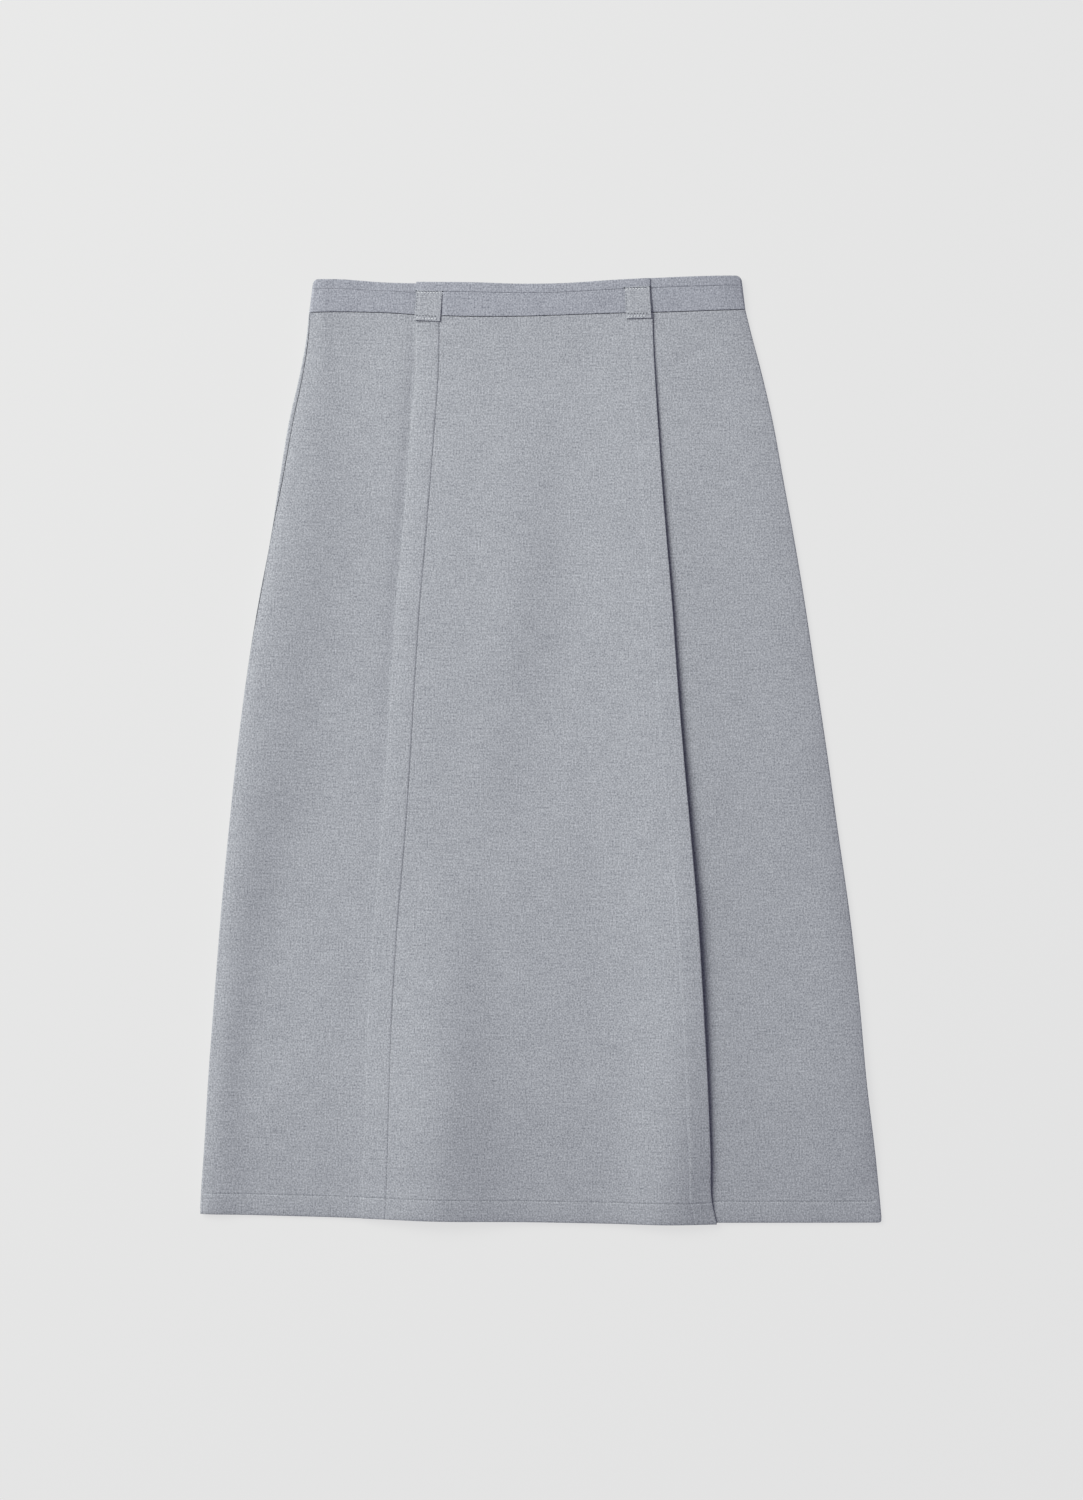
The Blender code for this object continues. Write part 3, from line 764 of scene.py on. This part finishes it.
way = np.linspace(2, LENGTH - 1, 300)
x = across(way, "lap") + LAP
line = np.stack([x, along(x, way, "front"), wrap_top(x, way) + THREAD_SEAT], axis=1)
lap_thread = sew("lap_stitching", line, lift=0.0, finish=dark_thread_painted_shade)
x = across(way, "free") - FREE_TURNING
sunk = FREE_SINK * (1 - ramp((way - SINK_OUT) / SINK_OUT_LENGTH))
height = wrap_top(x, way) + THREAD_SEAT * firmness(way) - sunk
free_thread = sew("free_edge_stitching", np.stack([x, along(x, way, "front"), height], axis=1))
x = np.linspace(across(seam_drop, "lap") + 1, across(seam_drop, "free") - 1, 200)
height = wrap_top(x, seam_drop) + THREAD_SEAT
line = np.stack([x, along(x, seam_drop, "front"), height], axis=1)
wrap_hem_thread = sew("wrap_hem_stitching", line, lift=0.0, finish=dark_thread_painted_shade)

# ----------------------------------------------------------------------------------------------
# Waistbands and facings. Each front waistband is a folded strip of suiting with interfacing in
# it. Above it the facing rolls over the top edge by 8 mm, and the waistband is stitched along
# that line. The back's waistband is one plain strip beneath them.

WAISTBAND = 28.0  # waist seam to top edge
FACING_LINE = 20.0  # waist seam to the facing's line
BAND = 1.6  # thickness of a waistband, from where it lies to its face
FACING_RISE = 0.2  # how much higher a facing's underside lies
STRIP_AIR = 0.1  # between a strip and what it lies on
STRIP_ROUND = 0.5  # how far in from its edge a strip starts to thin
STRIP_SLACK = 0.6  # how slack a strip is against the panels
BAND_LEAN = 3.5  # how far the ends lean in towards the top
BAND_CORNER = 5.0  # radius of the top corner at a side
WRAP_STEP = 1.0  # how far the wrap's waistband stands above the left one
BAND_TILT = 1.0  # how far the waistband's top stands above its seam
TILT_REACH = 20.0  # how far in from a side it has its full tilt
EDGE_STITCH = 2.6  # from the facing's line to the row of stitches
END_PRESS = 0.6  # how much thinner the wrap's waistband is pressed at its free end
END_REACH = 8.0  # how near to that end
LOOP_DENT = 0.5  # how far a belt loop's stitching pulls the waistband down
DENT_LIP = 1.8  # how far beside the loop

Loop = namedtuple("Loop", "place x_top x_foot width")
LOOPS = [
    Loop("left", -92.3, -94.2, 21.5),
    Loop("right", 79.6, 81.2, 20.8),
]

# the same cloth on its interfacing: flatter, and coloured a little bluer and darker than the panels as
# painted shade for the waistband's tilt away from the light
waistband_suiting_painted_shade = suiting("suiting_waistband_painted_shade", "#c6c9d3", "#777a86")


def band_end(height, x, way):
    """x of a waistband's end at a side, leaning in and rounded at its top corner."""
    over = np.clip(height - (WAISTBAND - BAND_CORNER), 0, BAND_CORNER)
    corner = BAND_CORNER - np.sqrt(BAND_CORNER**2 - over**2)
    return x + way * (BAND_LEAN * height / WAISTBAND + corner)


def waist_height(x, height):
    """Height of the lower waistbands' underside, which turns down onto the back one at the sides."""
    drop = np.zeros_like(x)
    side = np.minimum(x - SECTIONS[0].left, SECTIONS[0].right - x)
    near = 1 - np.clip((side - BAND_LEAN * height / WAISTBAND) / RIM, 0, 1)
    up = FRONT_TOP - CLOTH + front_rise(x, drop) - BAND_LAYER
    tilt = BAND_TILT * height / WAISTBAND * ramp(side / TILT_REACH)
    return BAND_LAYER + (up + tilt) * np.sqrt(1 - near**2)


def waist_y(x, height, step=0.0, short=0.0):
    """y of a place at a height above the waist seam. The wrap's top edge steps up across it, and
    the back's stays short of the front's."""
    seam, top = smooth(WAIST, "seam", x), smooth(WAIST, "top", x) - short
    top = top + step * ramp((SECTIONS[0].free - x) / (SECTIONS[0].free - SECTIONS[0].lap) * 2 - 1)
    return seam + (top - seam) * height / WAISTBAND


def loop_dent(x):
    """How far the waistband is pulled down beside the belt loops."""
    dent = 0 * x
    for loop in LOOPS:
        beside = np.abs(x - loop.x_top) - loop.width / 2
        dent = dent + LOOP_DENT * ramp(1 - beside / DENT_LIP)
    return dent


def strip(name, node, left, right, heights, base, thickness, sharp=(1, 1), press=0.0, groove=0.0):
    """A strip of the waistband between two ends, each an x for every height. sharp is how many
    times sharper its top and its foot are than its ends, press is how far its right end is
    pressed down, and groove is how deep its row of stitches lies."""
    near = [0, 0.12, 0.35, 0.8, 1.6, 3]
    x = spread(left, right, near, near, spacing=1.6)
    underside = base(x, heights) + STRIP_AIR
    # its waves are closer than the panels', and taken from another place
    face = base(x, heights) + thickness + slack(x * 1.6, heights * 2 + 90) * STRIP_SLACK
    if groove:
        from_stitch = heights - (FACING_LINE - EDGE_STITCH)
        face = face + stitch_line(from_stitch, x * 1.3, groove) - loop_dent(x)
    face = face - press * np.exp((x - right) / END_REACH)
    ends = np.minimum(x - left, right - x)
    top = (heights.max() - heights) * sharp[0]
    foot = (heights - heights.min()) * sharp[1]
    from_edge = np.minimum(ends, np.minimum(top, foot))
    face, underside = rounded(face, underside, from_edge, STRIP_ROUND)
    step = WRAP_STEP if node.endswith("wrap") else 0.0
    short = BACK_SHORT if node.endswith("back") else 0.0
    y = waist_y(x, heights, step, short)
    piece = cloth(
        name,
        points(x, y, face),
        points(x, y, underside),
        waistband_suiting_painted_shade,
        node,
        cut_at=(float(left.mean()) * 7, 2000 + thickness * 100),
    )
    return piece


# each kind of strip: its grid lines, as distances down from its top edge
gap = 0.03  # the waistband and the facing meet
edge_lines = np.array([0, 0.1, 0.25, 0.5, 1.1])
at_row = [1.8, 2.2, 2.6, 3.0, 3.5, 4.4]
band_foot = 19.7
band_down = np.concatenate([edge_lines, at_row, np.arange(6, 18.2, 1.6), band_foot - edge_lines[::-1]])
band_rows = (FACING_LINE - gap - band_down)[:, None]
facing_foot = WAISTBAND - FACING_LINE - gap
facing_down = np.concatenate([edge_lines, np.arange(2, 6.2, 1.0), facing_foot - edge_lines[::-1]])
facing_rows = (WAISTBAND - facing_down)[:, None]
back_foot = 27.8
back_down = np.concatenate([edge_lines, np.arange(3, 25, 3.0), back_foot - edge_lines[::-1]])
back_rows = (WAISTBAND - back_down)[:, None]
first, last = SECTIONS[0].left, SECTIONS[0].right
lap, free = SECTIONS[0].lap, SECTIONS[0].free

Strip = namedtuple("Strip", "layer lack sharp press groove")
# layer: height of what it lies on. lack: how far the facing's face stays below the waistband's.
# sharp: how many times sharper than its ends it is where those two meet. press and groove: as
# in the function above.
STRIPS = {
    "left": Strip(0.0, 0.0, 4.0, 0.0, 0.04),
    "wrap": Strip(BAND_LAYER, 0.2, 1.0, END_PRESS, 0.12),
    "underlap": Strip(0.0, 0.2, 1.0, 0.0, 0.14),
}

for kind, rows in (("waistband", band_rows), ("facing", facing_rows)):
    leaning = (BAND_LEAN - 1) * rows / WAISTBAND
    ends = {
        "left": (band_end(rows, first, 1), lap + LAP + 0 * rows),
        "wrap": (lap + 0.7 + 0 * rows, free - leaning),
        "underlap": (lap + UNDERLAP + 0 * rows, band_end(rows, last, -1)),
    }
    for place, (start, end) in ends.items():
        own = STRIPS[place]
        band = kind == "waistband"
        rise = 0.0 if band else FACING_RISE
        strip(
            f"{place}_{kind}_cloth",
            f"{kind}_{place}",
            start,
            end,
            rows,
            lambda x, height, up=own.layer + rise: waist_height(x, height) + up,
            BAND if band else BAND - FACING_RISE - own.lack,
            (own.sharp, 1) if band else (1, own.sharp),
            own.press,
            own.groove if band else 0.0,
        )

back_band = strip(
    "back_waistband_cloth",
    "waistband_back",
    band_end(back_rows, first, 1),
    band_end(back_rows, last, -1),
    back_rows,
    lambda x, height: 0 * (x + height),
    BAND,
)

THREAD_BITE = 0.06  # how far a thread lies in the waistband's face
stitch_height = FACING_LINE - EDGE_STITCH
# each row of stitches: its two ends, its step up with the wrap, and the stitches' own lift
runs = {
    "left": (first + 4, lap - 1, 0.0, -0.12),
    "wrap": (lap + 21, free - 4, WRAP_STEP, 0.06),
    "underlap": (free + 1, last - 4, 0.0, 0.06),
}
for place, (start, end, step, lift) in runs.items():
    x = np.linspace(start, end, 80)
    height = waist_height(x, stitch_height) + STRIPS[place].layer + BAND - THREAD_BITE
    line = np.stack([x, waist_y(x, stitch_height, step), height], axis=1)
    thread = sew(f"{place}_waistband_stitching", line, lift=lift)

# ----------------------------------------------------------------------------------------------
# Belt loops. Each is a strip of suiting folded in three, sewn down at both ends over the
# waistband and bowed a little off it between. One lies over the lap, and one at the free edge.

LOOP = 1.1  # thickness of a loop
LOOP_BASE = BAND_LAYER + BAND + 0.05 - LOOP_DENT * 0.8  # height of what it lies on
LOOP_BRIDGE = 0.25  # how far it is bowed off the waistband
LOOP_TOP = 21.5  # above the waist seam
LOOP_FOOT = -4.8
LOOP_ROUND = 0.75  # how far in from its edge it starts to thin
BAR = 1.9  # from a loop's end to its row of stitches
TUCK = 1.3  # from its top end to the crease where it comes out from under the facing
TUCK_DEPTH = 0.35
TUCK_WIDTH = 0.5
INNER_FOLD = -0.29  # where the raw edge inside shows through, in widths from the middle
INNER_WIDTH = 0.06  # its own width, in the same measure
INNER_HEIGHT = 0.3
BAR_STITCH = Stitches(2.5, 1.6, 0.42)
LOOP_STITCH = Stitches(2.4, 2.0, 0.28)
# a short thick stitch in dark thread at each top corner of a loop is painted shade
CORNER_SHADE_STITCH = Stitches(0.5, 1.5, 0.5)  # one short thick stitch at each top corner

# thicker thread, coloured paler than the sewing thread as painted highlight, which makes the pale bars
# across a loop's ends
pale_bar_thread_painted_highlight = thread_finish("polyester_bar_thread_painted_highlight", "#eceff3")
# thread coloured dark as painted shade: the shade of a loop's edge, painted onto its corners and its
# foot
dark_thread_painted_loop_shade = thread_finish("polyester_thread_painted_shade_under_fold", "#5c6069")

end_lines = np.array([0, 0.12, 0.35, 0.7, 1.0, 1.3, 1.6, 1.9, 2.2, 2.5, 2.9, 3.8])
loop_length = LOOP_TOP - LOOP_FOOT
for loop in LOOPS:
    middle_lines = np.arange(5, loop_length - 4.4, 1.2)  # from the last of end_lines to the first
    down = np.concatenate([end_lines, middle_lines, loop_length - end_lines[::-1]])[:, None]
    way = down / loop_length
    height = LOOP_TOP - down
    centre = loop.x_top + (loop.x_foot - loop.x_top) * way
    edges = [0, 0.12, 0.35, 0.8, 1.5, 2.5, 4]
    x = spread(centre - loop.width / 2, centre + loop.width / 2, edges, edges, spacing=1.3)
    bow = LOOP_BRIDGE * (1 - (2 * way - 1) ** 4)
    seat = waist_height(centre, 0 * height) + LOOP_BASE + 0 * x
    from_end = np.minimum(down, loop_length - down)
    from_fold = ((x - centre) / loop.width - INNER_FOLD) / INNER_WIDTH
    folded = INNER_HEIGHT * np.exp(-(from_fold**2))
    face = seat + bow + LOOP + stitch_line(from_end - BAR, x * 2) + folded
    face = face - TUCK_DEPTH * np.exp(-(((down - TUCK) / TUCK_WIDTH) ** 2))
    underside = seat + bow + STRIP_AIR
    ends = np.minimum(x - centre + loop.width / 2, centre + loop.width / 2 - x)
    face, underside = rounded(face, underside, np.minimum(ends, from_end), LOOP_ROUND)
    y = np.where(height > 0, waist_y(x, height), smooth(WAIST, "seam", x) + height)
    piece = cloth(
        f"{loop.place}_belt_loop_cloth",
        points(x, y, face),
        points(x, y, underside),
        panel_suiting,
        f"belt_loop_{loop.place}",
        cut_at=(loop.x_top * 9, 3100),
        grain=90,
    )
    side, top, foot = loop.width / 2, LOOP_TOP - BAR, LOOP_FOOT + BAR
    # each row: where it starts and ends across the loop and above the waist seam, how deep it
    # lies, its stitches and its thread
    # the pale bars are painted highlight, and the rows in dark thread are painted shade: the shade
    # along a loop's top, down its left edge, at its corners and at its foot
    rows = {
        "top_bar": ((1 - side, side - 1), (top, top), 0.1, BAR_STITCH, pale_bar_thread_painted_highlight),
        "foot_bar": ((1 - side, side - 1), (foot, foot), 0.1, BAR_STITCH, pale_bar_thread_painted_highlight),
        "top_seam": ((1 - side, side - 1), (LOOP_TOP - 0.9,) * 2, 0.1, LOOP_STITCH, dark_thread_painted_shade),
        "foot_seam": ((0.6 - side, side - 1), (foot + 2.2,) * 2, 0.1, BAR_STITCH, dark_thread_painted_loop_shade),
        "side": ((0.7 - side,) * 2, (top - 1, foot + 2), 0.1, LOOP_STITCH, dark_thread_painted_shade),
        "left_knot": ((-side - 1.2, 0.9 - side), (LOOP_TOP - 0.6,) * 2, 0.2, CORNER_SHADE_STITCH, dark_thread_painted_loop_shade),
        "right_knot": ((side - 0.9, side + 1.2), (LOOP_TOP - 0.6,) * 2, 0.2, CORNER_SHADE_STITCH, dark_thread_painted_loop_shade),
    }
    for name, (aside, levels, deep, stitches, finish) in rows.items():
        level = np.linspace(*levels, 20)
        at = (LOOP_TOP - level) / loop_length
        middle = loop.x_top + (loop.x_foot - loop.x_top) * at
        x = middle + np.linspace(*aside, 20)
        y = np.where(level > 0, waist_y(x, level), smooth(WAIST, "seam", x) + level)
        bow = LOOP_BRIDGE * (1 - (2 * at - 1) ** 4)
        height = waist_height(middle, 0 * level) + LOOP_BASE + LOOP + bow - deep
        line = np.stack([x, y, height], axis=1)
        thread = sew(f"{loop.place}_belt_loop_{name}", line, stitches, 0.15, finish)

# ----------------------------------------------------------------------------------------------
# Studio. The skirt lies on a pale table that is lit from below as well, and is seen from
# straight above. The main light is large and stands up and to the left of the waist.

PICTURE_SPAN = 1.245  # metres of table along the picture's longer side
LENS = 80.0
SENSOR = 36.0
AIM = (0.0004, 0.0)
TABLE_SIDE = 12.0
TABLE_GAP = 0.0002  # between the table and the skirt
GLOW = 0.85  # share of the table's brightness that comes from below

# matt white laminate that glows evenly, so that the ground is near white and shadows on it are weak
table_finish = bpy.data.materials.new("matt_white_laminate")
table_finish.use_nodes = True
tree = table_finish.node_tree
white = tree.nodes["Principled BSDF"]
white.inputs["Base Color"].default_value = linear("#e6e6e6")
white.inputs["Roughness"].default_value = 0.9
glow = add(tree, "ShaderNodeEmission", {"Color": linear("#e7e7e7"), "Strength": 1.0})
blend = add(tree, "ShaderNodeMixShader", {0: GLOW, 1: white.outputs[0], 2: glow.outputs[0]})
tree.links.new(blend.outputs[0], tree.nodes["Material Output"].inputs["Surface"])
bpy.ops.mesh.primitive_plane_add(size=TABLE_SIDE, location=(0, 0, -TABLE_GAP))
table = bpy.context.object
table.name = "table_top"
table.data.materials.append(table_finish)

light = bpy.data.lights.new("key_light", "AREA")
light.shape = "SQUARE"
light.size = 3.07
light.energy = 249
light.color = linear("#fefff6")[:3]
key = bpy.data.objects.new("key_light", light)
key.location = (-2.55, 1.92, 3.31)
key.rotation_euler = (-key.location).to_track_quat("-Z", "Y").to_euler()
key.visible_camera = False
bpy.context.scene.collection.objects.link(key)

world = bpy.data.worlds.new("studio_fill")
world.use_nodes = True
world.node_tree.nodes["Background"].inputs["Color"].default_value = linear("#d8d6f6")
world.node_tree.nodes["Background"].inputs["Strength"].default_value = 0.215
bpy.context.scene.world = world

SHARP_HEIGHT = 0.005  # height above the table at which the picture has that span
camera_data = bpy.data.cameras.new("camera_above")
camera_data.lens = LENS
camera_data.sensor_width = SENSOR
camera = bpy.data.objects.new("camera_above", camera_data)
camera.location = (*AIM, LENS / SENSOR * PICTURE_SPAN + SHARP_HEIGHT)
bpy.context.scene.collection.objects.link(camera)
bpy.context.scene.camera = camera
bpy.context.scene.view_settings.view_transform = "Standard"
